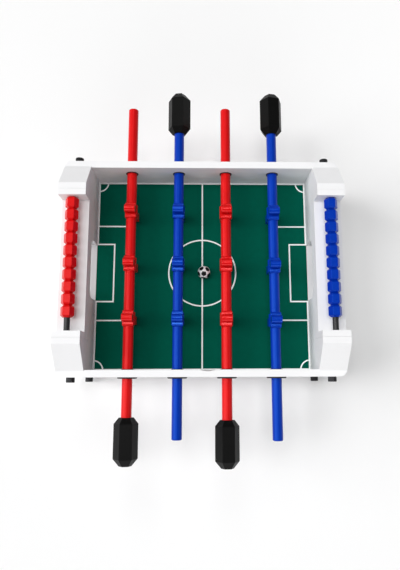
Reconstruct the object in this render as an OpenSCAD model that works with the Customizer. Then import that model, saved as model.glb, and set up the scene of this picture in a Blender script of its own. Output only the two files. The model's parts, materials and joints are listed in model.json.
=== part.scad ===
// Tabletop foosball table: a white box of four walls around a green pitch, four sliding and
// turning rods with three figures each, and a row of score beads over each goal.
// Millimetres. X runs from goal to goal, Y from the near side to the far side, Z up.
// The origin is on the ground under the middle of the pitch.

/* [Field] */
// Length of the pitch, from goal wall to goal wall
field_l = 231.4; // [230:0.2:234]
// Width of the pitch, between the long walls
field_w = 208.6; // [206:0.2:211]
// Height of the playing surface above the ground
pitch_z = 60; // [52:1:70]
// Thickness of the pitch board
board_t = 4; // [3.5:0.5:6]
// Depth of the grooves that hold the board in the walls
groove_depth = 2; // [1:0.5:3]
// Width of the painted pitch lines
line_w = 1.5; // [1:0.1:2]
// Radius of the centre circle
circle_r = 36.7; // [30:0.1:40]

/* [Walls] */
// Thickness of the two long walls
long_wall_t = 7.2; // [6.8:0.1:8]
// Thickness of the two goal walls
goal_wall_t = 27.6; // [27:0.1:31]
// Height of the long walls above the pitch
long_wall_h = 45.7; // [44:0.1:48]
// Height of the goal walls above the pitch
goal_wall_h = 48.5; // [46:0.1:50]
// Height of the corner blocks above the pitch
corner_h = 67.5; // [65:0.5:70]
// Distance of a corner block's inner face from the middle of the table
corner_in_y = 67.6; // [66:0.1:69]
// Distance of the joint between goal wall and long wall from the middle
seam_y = 73.9; // [73:0.1:75]
// Distance of the top of a corner block's slope from the middle
slope_top_y = 80.1; // [78:0.1:84]

/* [Goals] */
// Width of a goal mouth
goal_w = 62; // [54:1:70]
// Height of a goal mouth
goal_h = 31; // [26:0.5:34]
// Radius of the mouth's upper corners
goal_r = 10; // [6:1:14]

/* [Rods] */
// Distance from rod to rod
rod_pitch = 50.3; // [49.8:0.1:51]
// Height of the rod axis above the pitch
rod_h = 28; // [27:0.5:29]
// Diameter of a rod's shaft
rod_d = 10.5; // [10:0.1:11]
// Distance from figure to figure along a rod
figure_pitch = 57.1; // [54:0.1:58]
// Length of a handle
grip_l = 46.4; // [42:0.2:50]
// Width of a handle across its corners
grip_d = 24.6; // [22:0.2:26]

/* [Score beads] */
// Number of beads over each goal
bead_count = 10; // [10:1:10]
// Room that one bead takes on its rod
bead_pitch = 12.2; // [11.8:0.02:12.4]
// Width of a bead across its corners
bead_d = 13.6; // [12:0.2:13.8]
// Height of the bead rod above the pitch
bead_h = 57.5; // [57.2:0.1:58]

/* [Ball] */
// Diameter of the ball
ball_d = 13.6; // [12:0.1:13.6]

/* [Hidden] */
$fn = 64;

// Rods from left to right: which side the handle is on, the shaft's free end, the handle's outer
// end, the middle figure's place and how far the handle is turned on the shaft.
rod_side = [-1, 1, -1, 1];
shaft_tail = [178, 173, 178.6, 174.2];
grip_end = [197.3, 195.9, 200.2, 195.9];
figure_y = [4.9, 4.4, 4.1, 2.8];
grip_turn = [7, -9, 4.5, 12];

outer_l = field_l + 2 * goal_wall_t;
outer_w = field_w + 2 * long_wall_t;
long_wall_z = pitch_z + long_wall_h;
goal_wall_z = pitch_z + goal_wall_h;
corner_z = pitch_z + corner_h;
rod_z = pitch_z + rod_h;
bead_z = pitch_z + bead_h;
goal_wall_mid = (field_l + goal_wall_t) / 2;
slope_foot_y = field_w / 2 + 1.3;   // the slope of a corner block ends on the long wall's top
corner_cut = [4, 5];                // the outer upright edges are cut off, along X and along Y
seam_gap = 0.1;
rod_x = [for (i = [-1.5:1:1.5]) i * rod_pitch];
goal_y = 1.1;                       // goals and markings sit a little towards the far side
bead_x = goal_wall_mid + 1.5;       // the beads hang a little outside the middle of the goal wall

// Bearings. A liner turns in its bushing with the shaft, and the shaft slides in the liner.
shaft_r = rod_d / 2;
liner_r = shaft_r + 0.05;
liner_out_r = liner_r + 0.7;
bushing_r = liner_out_r + 0.05;
bushing_out_r = bushing_r + 0.45;
bushing_lip_r = shaft_r + 0.35;
bushing_flange_r = 10;
bushing_flange_t = 1.5;
liner_rim_t = 0.6;
seat_gap = 0.05;
press_gap = 0.02;

// Wall bolts: M5 socket head screws into brass inserts.
bolt_x = goal_wall_mid;
bolt_zs = [10, pitch_z + 39.7];
bolt_r = 2.5;
bolt_head_r = 4.25;
bolt_head_t = 5;
bolt_l = 45;
bolt_key_d = 4.6;
insert_r = 3.5;
insert_l = 8;

// The serving hole through the near wall, with a wide countersink on the inside.
serve_x = 5.9;
serve_z = pitch_z + 36;
serve_r = 8;
serve_sink_r = 13;
serve_sink_t = 2.3;

line_t = 0.6;
bead_rod_r = 3;
bead_bore_r = bead_rod_r + 0.08;
bead_gap = 0.1;

// Where the ball lies.
ball_pos = [1.8, 0.4, pitch_z + ball_d / 2 + 0.05];

// A block between two opposite corners.
module block(low, high) {
    translate(low) cube(high - low);
}

// An outline in Y and Z, pulled out along X from x0 to x1.
module along_x(x0, x1) {
    translate([x0, 0, 0]) rotate([90, 0, 90]) linear_extrude(x1 - x0) children();
}

// An outline in X and Z, pulled out along Y from y0 to y1.
module along_y(y0, y1) {
    translate([0, y1, 0]) rotate([90, 0, 0]) linear_extrude(y1 - y0) children();
}

// A round bar along Y.
module bar_y(r, y0, y1) {
    translate([0, y0, 0]) rotate([-90, 0, 0]) cylinder(r = r, h = y1 - y0);
}

// A turned shape about the Y axis: the outline's first number is the radius, its second is Y.
module turned_y(points) {
    rotate([-90, 0, 0]) rotate_extrude() polygon(points);
}

// A six-sided bar along Y with a corner at +X, whose ends are cut back to smaller flats.
module hex_bar(across_corners, y0, y1, cut0, cut1, end0, end1) {
    half_flat = across_corners * cos(30) / 2;
    intersection_for (turn = [0, 60, 120])
        rotate([0, turn, 0]) along_x(-across_corners, across_corners)
            polygon([[y0, -end0], [y0 + cut0, -half_flat], [y1 - cut1, -half_flat], [y1, -end1],
                     [y1, end1], [y1 - cut1, half_flat], [y0 + cut0, half_flat], [y0, end0]]);
}

// The pitch board from above, with a notch at each goal for the goal's sill. It can be grown all
// round to give the space that the walls leave for it.
module board_plan(grow) {
    reach = groove_depth + grow;
    difference() {
        translate([-field_l / 2 - reach, -field_w / 2 - reach])
            square([field_l + 2 * reach, field_w + 2 * reach]);
        for (side = [-1, 1]) scale([side, 1])
            translate([field_l / 2 - seam_gap + grow, goal_y - goal_w / 2 + grow])
                square([2 * reach, goal_w - 2 * grow]);
    }
}

module board_space() {
    translate([0, 0, pitch_z - board_t - seam_gap / 2])
        linear_extrude(board_t + seam_gap / 2) board_plan(seam_gap);
}

// A long wall on the far side: a plate with a sloped corner block at each end.
module long_wall_body() {
    intersection() {
        union() {
            block([-outer_l / 2, field_w / 2, 0], [outer_l / 2, outer_w / 2, long_wall_z]);
            for (side = [-1, 1])
                scale([side, 1, 1]) along_x(field_l / 2, outer_l / 2)
                    polygon([[seam_y, 0], [outer_w / 2, 0], [outer_w / 2, long_wall_z],
                             [slope_foot_y, long_wall_z], [slope_top_y, corner_z],
                             [seam_y, corner_z]]);
        }
        linear_extrude(corner_z)
            polygon([[-outer_l / 2, 0], [outer_l / 2, 0],
                     [outer_l / 2, outer_w / 2 - corner_cut.y],
                     [outer_l / 2 - corner_cut.x, outer_w / 2],
                     [corner_cut.x - outer_l / 2, outer_w / 2],
                     [-outer_l / 2, outer_w / 2 - corner_cut.y]]);
    }
}

module long_wall() {
    difference() {
        long_wall_body();
        board_space();
        for (x = rod_x)
            translate([x, 0, rod_z]) bar_y(bushing_out_r + seat_gap, field_w / 2 - 1, outer_w / 2 + 1);
        for (side = [-1, 1], z = bolt_zs)
            translate([side * bolt_x, 0, z]) bar_y(bolt_r + 0.2, seam_y - 1, outer_w / 2 + 1);
    }
}

module near_wall() {
    color("white")
    difference() {
        mirror([0, 1, 0]) long_wall();
        translate([serve_x, 0, serve_z]) {
            bar_y(serve_r, -outer_w / 2 - 1, 0);
            translate([0, -field_w / 2, 0])
                turned_y([[0, 0], [serve_sink_r, 0], [serve_r, -serve_sink_t], [0, -serve_sink_t]]);
        }
    }
}

module far_wall() {
    color("white") long_wall();
}

// The arch of a goal mouth, standing on the pitch.
module goal_arch() {
    translate([-goal_w / 2, 0]) square([goal_w, goal_h - goal_r]);
    translate([goal_r - goal_w / 2, 0]) square([goal_w - 2 * goal_r, goal_h]);
    for (side = [-1, 1])
        translate([side * (goal_w / 2 - goal_r), goal_h - goal_r]) circle(goal_r);
}

// The goal wall on the right: a thick block with a goal through it and a lug at each end that
// holds the bead rod.
module goal_wall() {
    half = seam_y - seam_gap;
    difference() {
        along_x(field_l / 2, outer_l / 2)
            polygon([[-half, 0], [half, 0], [half, corner_z], [corner_in_y, corner_z],
                     [corner_in_y, goal_wall_z], [-corner_in_y, goal_wall_z],
                     [-corner_in_y, corner_z], [-half, corner_z]]);
        board_space();
        translate([0, goal_y, pitch_z]) along_x(field_l / 2 - 1, outer_l / 2 + 1) goal_arch();
        translate([bead_x, 0, bead_z]) bar_y(bead_rod_r + seat_gap, -seam_y, seam_y);
        for (side = [-1, 1], z = bolt_zs)
            scale([1, side, 1]) translate([bolt_x, 0, z])
                bar_y(insert_r, seam_y - insert_l - 1, seam_y);
    }
}

module left_goal_wall() {
    color("white") mirror([1, 0, 0]) goal_wall();
}

module right_goal_wall() {
    color("white") goal_wall();
}

// A straight-sided ring of the line width, inside the given outline.
module frame_line(x0, x1, y0, y1) {
    difference() {
        translate([x0, y0]) square([x1 - x0, y1 - y0]);
        translate([x0 + line_w, y0 + line_w]) square([x1 - x0 - 2 * line_w, y1 - y0 - 2 * line_w]);
    }
}

module ring_line(r) {
    difference() {
        circle(r + line_w / 2, $fn = 96);
        circle(r - line_w / 2, $fn = 96);
    }
}

// All the pitch lines: border, open at the goals, centre line and circle, goal and penalty areas
// and corner arcs.
module pitch_marks() {
    half_l = field_l / 2;
    half_w = field_w / 2;
    goal_area = [19.8, 32.6];
    penalty_area = [41.4, 53.1];
    corner_r = 10.3;
    intersection() {
        translate([-half_l, -half_w]) square([field_l, field_w]);
        union() {
            difference() {
                frame_line(-half_l, half_l, -half_w, half_w);
                translate([-field_l, goal_y - goal_w / 2]) square([2 * field_l, goal_w]);
            }
            translate([-line_w / 2, -half_w]) square([line_w, field_w]);
            translate([0, goal_y]) ring_line(circle_r);
            for (side = [-1, 1]) scale([side, 1]) {
                for (area = [goal_area, penalty_area])
                    translate([0, goal_y])
                        frame_line(half_l - area.x, half_l + line_w, -area.y, area.y);
                for (end = [-1, 1]) translate([half_l, end * half_w]) ring_line(corner_r);
            }
        }
    }
}

module pitch_board() {
    color("seagreen")
    difference() {
        translate([0, 0, pitch_z - board_t]) linear_extrude(board_t - seam_gap / 2) board_plan(0);
        translate([0, 0, pitch_z - seam_gap / 2 - line_t]) linear_extrude(2 * line_t) pitch_marks();
    }
}

module pitch_lines() {
    color("white")
    translate([0, 0, pitch_z - seam_gap / 2 - line_t]) linear_extrude(line_t) pitch_marks();
}

// One socket head screw along -Y, its head's underside at y = 0.
module wall_bolt() {
    key_depth = 2.6;
    difference() {
        union() {
            bar_y(bolt_r, -bolt_l, 0);
            turned_y([[0, 0], [bolt_head_r, 0], [bolt_head_r, bolt_head_t - 0.5],
                      [bolt_head_r - 0.5, bolt_head_t], [0, bolt_head_t]]);
        }
        translate([0, bolt_head_t - key_depth, 0]) rotate([-90, 0, 0])
            cylinder(d = bolt_key_d, h = key_depth + 1, $fn = 6);
    }
}

module wall_bolts() {
    color("dimgray")
    for (end = [0, 1], side = [-1, 1], z = bolt_zs)
        mirror([0, end, 0]) translate([side * bolt_x, outer_w / 2, z]) wall_bolt();
}

module threaded_inserts() {
    color("gold")
    for (end = [0, 1], side = [-1, 1], z = bolt_zs)
        mirror([0, end, 0]) translate([side * bolt_x, 0, z])
            difference() {
                bar_y(insert_r - press_gap, seam_y - seam_gap - insert_l, seam_y - seam_gap);
                bar_y(bolt_r + seat_gap, seam_y - insert_l - 1, seam_y + 1);
            }
}

// One bushing in the far wall: a barrel through the wall and a flange on its outer face.
module bushing() {
    wall_out = outer_w / 2;
    flange_out = wall_out + bushing_flange_t;
    turned_y([[bushing_r, field_w / 2], [bushing_out_r, field_w / 2], [bushing_out_r, wall_out],
              [bushing_flange_r, wall_out], [bushing_flange_r, flange_out - 0.7],
              [bushing_flange_r - 0.7, flange_out], [bushing_lip_r, flange_out],
              [bushing_lip_r, wall_out], [bushing_r, wall_out]]);
}

module bushings() {
    color("black")
    for (x = rod_x) translate([x, 0, rod_z]) bushing();
}

module near_bushings() {
    mirror([0, 1, 0]) bushings();
}

module far_bushings() {
    bushings();
}

// The liner in the far wall: a thin sleeve with a rim on the wall's inner face.
module liner() {
    rim_out = field_w / 2 - seat_gap;
    sleeve_end = outer_w / 2 - 0.2;
    turned_y([[liner_r, rim_out - liner_rim_t], [bushing_out_r, rim_out - liner_rim_t],
              [bushing_out_r, rim_out], [liner_out_r, rim_out],
              [liner_out_r, sleeve_end], [liner_r, sleeve_end]]);
}

module rod_liners(k) {
    color("black")
    translate([rod_x[k - 1], 0, rod_z]) {
        liner();
        mirror([0, 1, 0]) liner();
    }
}

function rod_color(k) = rod_side[k - 1] < 0 ? "red" : "mediumblue";

// Everything on a rod is drawn with the handle at -Y and turned round for the far handles.
module rod_place(k) {
    translate([rod_x[k - 1], 0, rod_z]) scale([1, -rod_side[k - 1], 1]) children();
}

module rod_shaft(k) {
    handle_depth = 36;
    y0 = grip_l - grip_end[k - 1] - handle_depth;
    y1 = shaft_tail[k - 1];
    edge = 0.8;
    color(rod_color(k))
    rod_place(k)
        turned_y([[0, y0], [shaft_r, y0], [shaft_r, y1 - edge], [shaft_r - edge, y1], [0, y1]]);
}

// A six-sided handle with long cut-back ends and a blind bore for the shaft.
module rod_handle(k) {
    y0 = -grip_end[k - 1];
    y1 = y0 + grip_l;
    bore_depth = 36.5;
    color("black")
    rod_place(k)
        difference() {
            rotate([0, grip_turn[k - 1], 0]) hex_bar(grip_d, y0, y1, 7, 6, 5.5, 6.5);
            bar_y(shaft_r + press_gap, y1 - bore_depth, y1 + 1);
        }
}

// The upper half of a figure, seen from the front: rounded head, neck, shoulders and trunk.
module figure_bust() {
    head_r = 4.1;
    head_z = 12.4;
    neck = [4.6, 4];
    shoulder_r = 2.1;
    shoulder = [6.1, 5.2];
    hip = [7, -8];
    arm_x = shoulder.x + shoulder_r;
    translate([0, head_z]) circle(head_r);
    translate([-neck.x / 2, shoulder.y + shoulder_r - 0.5]) square(neck);
    for (side = [-1, 1]) translate([side * shoulder.x, shoulder.y]) circle(shoulder_r);
    translate([-shoulder.x, 0]) square([2 * shoulder.x, shoulder.y + shoulder_r]);
    polygon([[-arm_x, shoulder.y], [arm_x, shoulder.y], hip, [-hip.x, hip.y]]);
}

// The legs and the foot, seen from the front.
module figure_legs_front() {
    polygon([[-7, -7], [7, -7], [4.6, -14], [4, -19], [4.4, -23.5], [-4.4, -23.5], [-4, -19],
             [-4.6, -14]]);
}

// The legs and the foot, seen from the side.
module figure_legs_side() {
    polygon([[-5, -7], [5, -7], [4.3, -14], [5.5, -20], [5.5, -23.5], [-5.5, -23.5], [-5.5, -20],
             [-4.3, -14]]);
}

module rod_figure(k, p) {
    bust_t = 10.8;
    hub_r = shaft_r + 1.45;
    color(rod_color(k))
    translate([rod_x[k - 1], figure_y[k - 1] + (2 - p) * figure_pitch, rod_z])
        difference() {
            union() {
                along_x(-bust_t / 2, bust_t / 2) figure_bust();
                bar_y(hub_r, -6.5, 6.5);
                intersection() {
                    along_x(-8, 8) figure_legs_front();
                    along_y(-9, 9) figure_legs_side();
                }
            }
            bar_y(shaft_r + press_gap, -10, 10);
        }
}

module bead_rod(side) {
    color("black")
    translate([side * bead_x, 0, bead_z]) bar_y(bead_rod_r, 0.3 - seam_y, seam_y - 0.3);
}

// Bead b, counted from the far end of its rod.
module bead(side, b) {
    cut = 2;
    y1 = corner_in_y - (b - 1) * bead_pitch - bead_gap / 2;
    y0 = y1 - bead_pitch + bead_gap;
    half_flat = bead_d * cos(30) / 2;
    color(side < 0 ? "red" : "mediumblue")
    translate([side * bead_x, 0, bead_z])
        difference() {
            hex_bar(bead_d, y0, y1, cut, cut, half_flat - cut, half_flat - cut);
            bar_y(bead_bore_r, y0 - 1, y1 + 1);
        }
}

module ball() {
    color("white") translate(ball_pos) sphere(d = ball_d);
}

near_wall();
far_wall();
left_goal_wall();
right_goal_wall();
pitch_board();
pitch_lines();
wall_bolts();
threaded_inserts();
near_bushings();
far_bushings();
bead_rod(-1);  // left_bead_rod
bead_rod(1);  // right_bead_rod
ball();
for (k = [1:4]) {
    rod_liners(k);
    rod_shaft(k);
    rod_handle(k);
    for (p = [1:3])
        rod_figure(k, p);
}
for (b = [1:bead_count]) {
    bead(-1, b);
    bead(1, b);
}
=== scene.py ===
"""Looks for the tabletop foosball table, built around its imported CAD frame."""
import json
import math

import bmesh
import bpy
from mathutils import Matrix, Vector


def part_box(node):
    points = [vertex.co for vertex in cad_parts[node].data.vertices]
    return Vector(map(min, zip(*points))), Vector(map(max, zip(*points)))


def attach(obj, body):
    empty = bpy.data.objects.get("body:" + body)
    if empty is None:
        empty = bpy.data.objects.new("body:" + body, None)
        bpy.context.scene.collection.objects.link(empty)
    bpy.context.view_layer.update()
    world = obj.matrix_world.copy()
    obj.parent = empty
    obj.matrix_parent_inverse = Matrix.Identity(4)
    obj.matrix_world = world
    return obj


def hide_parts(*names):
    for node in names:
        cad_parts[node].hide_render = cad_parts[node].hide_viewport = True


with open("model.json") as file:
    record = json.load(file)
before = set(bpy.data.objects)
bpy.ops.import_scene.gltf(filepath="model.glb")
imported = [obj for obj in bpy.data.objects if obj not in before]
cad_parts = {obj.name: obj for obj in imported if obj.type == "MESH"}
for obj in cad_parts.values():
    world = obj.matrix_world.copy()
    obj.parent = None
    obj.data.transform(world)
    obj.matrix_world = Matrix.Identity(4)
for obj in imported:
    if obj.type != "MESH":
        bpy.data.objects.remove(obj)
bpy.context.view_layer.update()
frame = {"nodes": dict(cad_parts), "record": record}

MM = 0.001


# ---------------------------------------------------------------- node helpers

def start_material(name, colour, roughness):
    """A Principled material, its node tree and its shader."""
    material = bpy.data.materials.new(name)
    material.use_nodes = True
    shader = material.node_tree.nodes["Principled BSDF"]
    shader.inputs["Base Color"].default_value = (*colour, 1)
    shader.inputs["Roughness"].default_value = roughness
    return material, material.node_tree, shader


def object_coords(tree):
    return tree.nodes.new("ShaderNodeTexCoord").outputs["Object"]


def noise(tree, vector, size, detail):
    """Noise whose features are about size metres across."""
    node = tree.nodes.new("ShaderNodeTexNoise")
    node.inputs["Scale"].default_value = 1 / size
    node.inputs["Detail"].default_value = detail
    tree.links.new(vector, node.inputs["Vector"])
    return node.outputs["Fac"]


def layers(tree, vector, period):
    """Level ridges, one every period metres of height, that waver a little."""
    node = tree.nodes.new("ShaderNodeTexWave")
    node.bands_direction = "Z"
    node.inputs["Scale"].default_value = math.pi / (10 * period)
    node.inputs["Distortion"].default_value = 0.3
    tree.links.new(vector, node.inputs["Vector"])
    return node.outputs["Fac"]


def to_range(tree, value, low, high):
    node = tree.nodes.new("ShaderNodeMapRange")
    node.inputs["To Min"].default_value = low
    node.inputs["To Max"].default_value = high
    tree.links.new(value, node.inputs["Value"])
    return node.outputs["Result"]


def two_colours(tree, factor, first, second):
    node = tree.nodes.new("ShaderNodeMix")
    node.data_type = "RGBA"
    node.inputs["A"].default_value = (*first, 1)
    node.inputs["B"].default_value = (*second, 1)
    tree.links.new(factor, node.inputs["Factor"])
    return node.outputs["Result"]


def bump(tree, height, depth, normal=None):
    """Relief depth metres deep."""
    node = tree.nodes.new("ShaderNodeBump")
    node.inputs["Strength"].default_value = 1
    node.inputs["Distance"].default_value = depth
    tree.links.new(height, node.inputs["Height"])
    if normal is not None:
        tree.links.new(normal, node.inputs["Normal"])
    return node.outputs["Normal"]


def shade(colour, factor):
    return tuple(min(1, c * factor) for c in colour)


# ---------------------------------------------------------------- materials

PRINT_CLOUD = 9 * MM            # printed plastic: the size of the tone's clouds
PRINT_GRAIN = 0.8 * MM
PRINT_LAYER = 0.3 * MM
PRINT_RELIEF = 0.02 * MM        # depth of the grain and of the layers' ridges
PRINT_UNEVEN = 0.06             # how far the roughness strays either way
MOULD_CLOUD = 6 * MM            # moulded plastic and metal, the same
MOULD_GRAIN = 0.5 * MM
MOULD_RELIEF = 0.01 * MM
MOULD_UNEVEN = 0.07
WHITE = (1, 1, 1)


def cloudy_tone(tree, cloud, colour, spread):
    """The colour, darker and lighter by spread where the clouds are thin and thick."""
    return two_colours(tree, cloud, shade(colour, 1 - spread), shade(colour, 1 + spread))


def printed_plastic(name, colour, roughness, spread):
    """Plastic laid down in thin level layers, with a faint cloudy tone."""
    material, tree, shader = start_material(name, colour, roughness)
    vector = object_coords(tree)
    cloud = noise(tree, vector, PRINT_CLOUD, 4)
    grain = noise(tree, vector, PRINT_GRAIN, 2)
    tree.links.new(cloudy_tone(tree, cloud, colour, spread), shader.inputs["Base Color"])
    tree.links.new(to_range(tree, grain, roughness - PRINT_UNEVEN, roughness + PRINT_UNEVEN),
                   shader.inputs["Roughness"])
    ridges = bump(tree, layers(tree, vector, PRINT_LAYER), PRINT_RELIEF)
    tree.links.new(bump(tree, grain, PRINT_RELIEF, ridges), shader.inputs["Normal"])
    return material


def moulded_plastic(name, colour, roughness, spread, shine=0.35, tint=WHITE):
    """Satin coloured plastic with a fine grain, a slightly uneven gloss and a tinted shine."""
    material, tree, shader = start_material(name, colour, roughness)
    shader.inputs["Specular IOR Level"].default_value = shine
    shader.inputs["Specular Tint"].default_value = (*tint, 1)
    vector = object_coords(tree)
    cloud = noise(tree, vector, MOULD_CLOUD, 4)
    grain = noise(tree, vector, MOULD_GRAIN, 3)
    tree.links.new(cloudy_tone(tree, cloud, colour, spread), shader.inputs["Base Color"])
    tree.links.new(to_range(tree, cloud, roughness - MOULD_UNEVEN, roughness + MOULD_UNEVEN),
                   shader.inputs["Roughness"])
    tree.links.new(bump(tree, grain, MOULD_RELIEF), shader.inputs["Normal"])
    return material


def metal(name, colour, roughness, spread):
    material = moulded_plastic(name, colour, roughness, spread)
    material.node_tree.nodes["Principled BSDF"].inputs["Metallic"].default_value = 1
    return material


RED = (0.68, 0.004, 0.005)
RED_GLOSS = (1, 0.2, 0.2)
BLUE = (0.0008, 0.03, 0.38)
BLUE_GLOSS = (0.08, 0.3, 1)
BLACK = (0.008, 0.008, 0.009)
LOOKS = {
    "white_plastic": printed_plastic("white_plastic", (0.86, 0.86, 0.87), 0.5, 0.02),
    "pitch_green": moulded_plastic("pitch_green", (0.0005, 0.095, 0.06), 0.8, 0.1, shine=0.02),
    "line_white": moulded_plastic("line_white", (0.95, 0.99, 0.97), 0.6, 0.01),
    "black_steel": metal("black_steel", (0.03, 0.03, 0.032), 0.4, 0.2),
    "insert_brass": metal("insert_brass", (0.7, 0.5, 0.2), 0.3, 0.1),
    "bushing_black": moulded_plastic("bushing_black", BLACK, 0.45, 0.2),
    "liner_black": moulded_plastic("liner_black", BLACK, 0.4, 0.2),
    "bead_rod_black": moulded_plastic("bead_rod_black", BLACK, 0.4, 0.2),
    "ball_skin": moulded_plastic("ball_white", (0.94, 0.94, 0.94), 0.35, 0.02),
    "ball_black": moulded_plastic("ball_black", BLACK, 0.25, 0.1, shine=0.2),
    "red_shaft": moulded_plastic("red_shaft", RED, 0.36, 0.06, shine=0.6, tint=RED_GLOSS),
    "blue_shaft": moulded_plastic("blue_shaft", BLUE, 0.36, 0.06, shine=0.6, tint=BLUE_GLOSS),
    "red_figure": moulded_plastic("red_figure", RED, 0.2, 0.06, shine=0.9, tint=RED_GLOSS),
    "blue_figure": moulded_plastic("blue_figure", BLUE, 0.2, 0.06, shine=0.9, tint=BLUE_GLOSS),
    "red_bead": moulded_plastic("red_bead", RED, 0.3, 0.06, shine=0.6, tint=RED_GLOSS),
    "blue_bead": moulded_plastic("blue_bead", BLUE, 0.3, 0.06, shine=0.6, tint=BLUE_GLOSS),
    "handle_black": moulded_plastic("handle_black", (0.004, 0.004, 0.004), 0.4, 0.15, shine=0.08),
}
FLAT_NODES = ("pitch_board", "pitch_lines")     # these keep their sharp edges
SLOT_OF = {row["node"]: row["material_slot"] for row in frame["record"]["subparts"]}


# ---------------------------------------------------------------- CAD nodes that stay

EDGE_ROUND = 0.3 * MM
EDGE_SEGMENTS = 3
EDGE_TURN = math.radians(25)    # an edge that turns more than this is rounded
FLAT_TURN = math.radians(0.2)   # faces that turn less than this from each other become one
WELD_GAP = 0.002 * MM


def finish_node(node):
    """Gives a CAD node its material and rounds its sharp edges."""
    piece = frame["nodes"][node]
    mesh = piece.data
    mesh.materials.clear()
    mesh.materials.append(LOOKS[SLOT_OF[node]])
    if "custom_normal" in mesh.attributes:
        mesh.attributes.remove(mesh.attributes["custom_normal"])
    rounded = node not in FLAT_NODES
    mesh.polygons.foreach_set("use_smooth", [rounded] * len(mesh.polygons))
    if rounded:
        round_edges(piece)


def round_edges(piece):
    """Joins the mesh's split corners and flat facets, then rounds the edges that are left."""
    weld = piece.modifiers.new("weld", "WELD")
    weld.merge_threshold = WELD_GAP
    flat = piece.modifiers.new("flat", "DECIMATE")
    flat.decimate_type = "DISSOLVE"
    flat.angle_limit = FLAT_TURN
    bevel = piece.modifiers.new("round", "BEVEL")
    bevel.width = EDGE_ROUND
    bevel.segments = EDGE_SEGMENTS
    bevel.limit_method = "ANGLE"
    bevel.angle_limit = EDGE_TURN
    bevel.harden_normals = True
    bevel.miter_outer = "MITER_ARC"


for node in frame["nodes"]:
    finish_node(node)


# ---------------------------------------------------------------- pieces built here

MERGE_GAP = 0.005 * MM


def new_piece(name, build, materials, body, node):
    """A mesh piece that build() fills, which rides on a body and replaces a CAD node."""
    mesh = bpy.data.meshes.new(name)
    shape = bmesh.new()
    build(shape)
    bmesh.ops.remove_doubles(shape, verts=shape.verts, dist=MERGE_GAP)
    bmesh.ops.recalc_face_normals(shape, faces=shape.faces)
    shape.to_mesh(mesh)
    shape.free()
    for material in materials:
        mesh.materials.append(material)
    piece = bpy.data.objects.new(name, mesh)
    bpy.context.scene.collection.objects.link(piece)
    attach(piece, body)
    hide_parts(node)


# The ball: a football of 12 black pentagons and 20 white hexagons.
GOLDEN = (1 + math.sqrt(5)) / 2
BALL_TIP = math.radians(25)     # its top pentagon leans towards the near side
BALL_SPIN = math.radians(-7)    # turned about the upright
PENTAGON_REACH = 0.43           # its corners, as a part of the way to the next pentagon's middle
BALL_ROWS = 9                   # rows of facets from a panel's middle to its seam
SEAM_DEPTH = 0.035              # of the ball's radius
PILLOW_START = 0.72             # how far out from its middle a panel starts to bend down


def in_order(points):
    """The points sorted by angle round their middle."""
    middle = sum(points, Vector()).normalized()
    across = (points[0] - middle * points[0].dot(middle)).normalized()
    up = middle.cross(across)
    return sorted(points, key=lambda q: math.atan2(q.dot(up), q.dot(across)))


def ball_panels():
    """The outlines of the hexagons and of the pentagons, round an icosahedron's corners."""
    corners = [Vector(c).normalized() for a in (-1, 1) for b in (-GOLDEN, GOLDEN)
               for c in ((0, a, b), (a, b, 0), (b, 0, a))]
    edge = min((corners[0] - c).length for c in corners[1:])
    ids = range(len(corners))

    def joined(i, j):
        return i != j and (corners[i] - corners[j]).length < 1.1 * edge

    def outline(*pairs):
        return in_order([corners[i].lerp(corners[j], PENTAGON_REACH) for i, j in pairs])

    hexagons = [outline((i, j), (j, i), (j, k), (k, j), (k, i), (i, k))
                for i in ids for j in ids for k in ids
                if i < j < k and joined(i, j) and joined(j, k) and joined(i, k)]
    pentagons = [outline(*[(i, j) for j in ids if joined(i, j)]) for i in ids]
    return hexagons, pentagons


def build_ball(shape):
    low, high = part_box("ball")
    middle = (low + high) / 2
    radius = (high.z - low.z) / 2
    upright = Vector((0, 1, GOLDEN)).rotation_difference(Vector((0, 0, 1))).to_matrix()
    turn = Matrix.Rotation(BALL_TIP, 3, "X") @ Matrix.Rotation(BALL_SPIN, 3, "Z") @ upright

    def point(direction, out):
        bend = max(0, (out - PILLOW_START) / (1 - PILLOW_START))
        reach = radius * (1 - SEAM_DEPTH * bend * bend)
        return shape.verts.new(middle + turn @ direction.normalized() * reach)

    for colour, panels in enumerate(ball_panels()):
        for panel in panels:
            centre = sum(panel, Vector()) / len(panel)
            for start, end in zip(panel, panel[1:] + panel[:1]):
                rows = [[point(centre.lerp(start.lerp(end, step / max(row, 1)), row / BALL_ROWS),
                               row / BALL_ROWS) for step in range(row + 1)]
                        for row in range(BALL_ROWS + 1)]
                for inner, outer in zip(rows, rows[1:]):
                    strip = [(a, b, c) for a, b, c in zip(inner, outer, outer[1:])]
                    strip += [(a, b, c) for a, b, c in zip(inner, outer[1:], inner[1:])]
                    for facet in strip:
                        face = shape.faces.new(facet)
                        face.material_index = colour
                        face.smooth = True


# The wall bolts: M5 socket head screws with knurled heads.
HEAD_RADIUS = 4.25 * MM
HEAD_HEIGHT = 5 * MM
HEAD_SIDES = 72                 # every second corner is cut back, for the knurl
KNURL_DEPTH = 0.12 * MM
HEAD_FOOT = 0.25 * MM           # bevel under the head
HEAD_RIM = 0.5 * MM             # rounding round the head's top
KEY_RADIUS = 2.3 * MM           # from the middle to the corners of the hexagon socket
KEY_BEVEL = 0.2 * MM
KEY_DEPTH = 2.6 * MM
BOLT_RADIUS = 2.5 * MM
BOLT_LENGTH = 45 * MM
SHANK_OVERLAP = 0.5 * MM        # how far the shank reaches up into its head
THREAD_LENGTH = 22 * MM
THREAD_PITCH = 0.8 * MM
THREAD_DEPTH = 0.4 * MM
THREAD_SIDES = 20
THREAD_STEPS = 4                # rings in one turn of the thread


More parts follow.
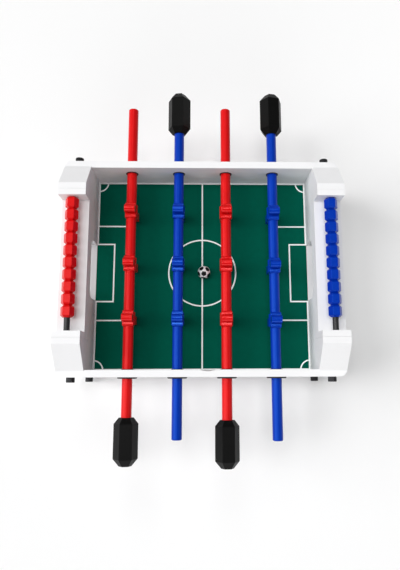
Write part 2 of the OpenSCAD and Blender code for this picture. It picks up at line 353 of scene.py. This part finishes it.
def ring(shape, place, radii, along):
    """A closed ring of points round the local Y axis."""
    angles = [math.tau * i / len(radii) for i in range(len(radii))]
    return [shape.verts.new(place @ Vector((r * math.cos(a), along, r * math.sin(a))))
            for r, a in zip(radii, angles)]


def skin(shape, rings, smooth):
    """Faces between neighbouring rings, and one over each end."""
    for first, second in zip(rings, rings[1:]):
        for i in range(len(first)):
            shape.faces.new((first[i - 1], first[i], second[i], second[i - 1])).smooth = smooth
    shape.faces.new(rings[0])
    shape.faces.new(rings[-1])


def build_bolt_head(shape, place):
    smooth = [1] * HEAD_SIDES
    knurled = [1 - KNURL_DEPTH / HEAD_RADIUS * (i % 2) for i in range(HEAD_SIDES)]
    sixth = math.pi / 3
    socket = [math.cos(sixth / 2) / math.cos(math.tau * i / HEAD_SIDES % sixth - sixth / 2)
              for i in range(HEAD_SIDES)]
    top = HEAD_HEIGHT
    profile = [(BOLT_RADIUS, 0, smooth), (HEAD_RADIUS - HEAD_FOOT, 0, smooth),
               (HEAD_RADIUS, HEAD_FOOT, knurled), (HEAD_RADIUS, top - 1.4 * HEAD_RIM, knurled),
               (HEAD_RADIUS - 0.3 * HEAD_RIM, top - 0.5 * HEAD_RIM, smooth),
               (HEAD_RADIUS - HEAD_RIM, top, smooth), (KEY_RADIUS + 1.25 * KEY_BEVEL, top, smooth),
               (KEY_RADIUS, top - KEY_BEVEL, socket), (KEY_RADIUS, top - KEY_DEPTH, socket)]
    skin(shape, [ring(shape, place, [radius * r for r in outline], along)
                 for radius, along, outline in profile], False)


def build_bolt_shank(shape, place):
    plain = BOLT_LENGTH - THREAD_LENGTH
    turns = THREAD_LENGTH / THREAD_PITCH
    rings = [ring(shape, place, [BOLT_RADIUS] * THREAD_SIDES, along)
             for along in (SHANK_OVERLAP, -plain)]
    for step in range(1, int(turns * THREAD_STEPS)):
        along = -plain - step * THREAD_PITCH / THREAD_STEPS
        phases = [(along / THREAD_PITCH + i / THREAD_SIDES) % 1 for i in range(THREAD_SIDES)]
        rings.append(ring(shape, place, [BOLT_RADIUS - THREAD_DEPTH * abs(2 * phase - 1)
                                         for phase in phases], along))
    rings.append(ring(shape, place, [BOLT_RADIUS - THREAD_DEPTH] * THREAD_SIDES, -BOLT_LENGTH))
    skin(shape, rings, True)


def build_bolts(shape):
    low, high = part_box("wall_bolts")
    seat = high.y - HEAD_HEIGHT
    for x in (low.x + HEAD_RADIUS, high.x - HEAD_RADIUS):
        for z in (low.z + HEAD_RADIUS, high.z - HEAD_RADIUS):
            for turn in (0, math.pi):
                place = Matrix.Rotation(turn, 4, "Z") @ Matrix.Translation((x, seat, z))
                build_bolt_head(shape, place)
                build_bolt_shank(shape, place)


new_piece("football", build_ball, [LOOKS["ball_skin"], LOOKS["ball_black"]], "ball", "ball")
new_piece("socket_screws", build_bolts, [LOOKS["black_steel"]], "frame", "wall_bolts")


# ---------------------------------------------------------------- floor, light and camera

FLOOR_HALF = 3.0                # metres
FLOOR_WHITE = (0.9, 0.9, 0.9)


def add_floor():
    half = FLOOR_HALF
    mesh = bpy.data.meshes.new("floor")
    mesh.from_pydata([(-half, -half, 0), (half, -half, 0), (half, half, 0), (-half, half, 0)], [],
                     [(0, 1, 2, 3)])
    floor = bpy.data.objects.new("floor", mesh)
    bpy.context.scene.collection.objects.link(floor)
    mesh.materials.append(start_material("floor", FLOOR_WHITE, 0.9)[0])


# Each soft light: the compass direction it comes from (0 at +X, 90 at the far side), how high it
# stands, how wide it looks, all in degrees, and its strength.
LIGHTS = {
    "left": (180, 30, 42, 1.85),
    "left_high": (176, 56, 16, 0.6),
    "left_top": (172, 73, 16, 0.4),
    "top": (100, 86, 14, 0.5),
    "far": (97, 52, 24, 0.4),
    "near": (-90, 17, 42, 0.85),
    "right": (0, 33, 45, 0.45),
}
SKY_STRENGTH = 0.1


def add_light():
    world = bpy.data.worlds.new("studio")
    bpy.context.scene.world = world
    world.use_nodes = True
    world.node_tree.nodes["Background"].inputs["Color"].default_value = (1, 1, 1, 1)
    world.node_tree.nodes["Background"].inputs["Strength"].default_value = SKY_STRENGTH
    for name, (compass, height, width, strength) in LIGHTS.items():
        light = bpy.data.lights.new(name, "SUN")
        light.energy = strength
        light.angle = math.radians(width)
        lamp = bpy.data.objects.new(name, light)
        bpy.context.scene.collection.objects.link(lamp)
        turn = Matrix.Rotation(math.radians(compass), 3, "Z")
        towards = turn @ Matrix.Rotation(-math.radians(height), 3, "Y") @ Vector((1, 0, 0))
        lamp.rotation_euler = towards.to_track_quat("Z", "Y").to_euler()


SENSOR = 36                     # millimetres, like the lens
LENS = 34.36
SHIFT = (-0.0285, -0.0121)      # of the picture's longer side
CAMERA_ASIDE = 1.5 * MM
CAMERA_NEARER = 111.1 * MM      # from the pitch's middle towards the near side
CAMERA_ABOVE = 587.3 * MM       # over the pitch
CAMERA_TILT = 10.26             # degrees about X, Y and Z
CAMERA_TURN = -1.33
CAMERA_ROLL = 0.03


def add_camera():
    """Nearly straight above the table, tipped a little towards the far side."""
    data = bpy.data.cameras.new("camera")
    data.sensor_width = SENSOR
    data.lens = LENS
    data.shift_x, data.shift_y = SHIFT
    camera = bpy.data.objects.new("camera", data)
    bpy.context.scene.collection.objects.link(camera)
    pitch_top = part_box("pitch_board")[1].z
    camera.location = (CAMERA_ASIDE, -CAMERA_NEARER, pitch_top + CAMERA_ABOVE)
    tilt = Matrix.Rotation(math.radians(CAMERA_TILT), 4, "X")
    turn = Matrix.Rotation(math.radians(CAMERA_TURN), 4, "Y")
    roll = Matrix.Rotation(math.radians(CAMERA_ROLL), 4, "Z")
    camera.rotation_euler = (tilt @ turn @ roll).to_euler()
    bpy.context.scene.camera = camera


add_floor()
add_light()
add_camera()
bpy.context.scene.view_settings.view_transform = "Standard"
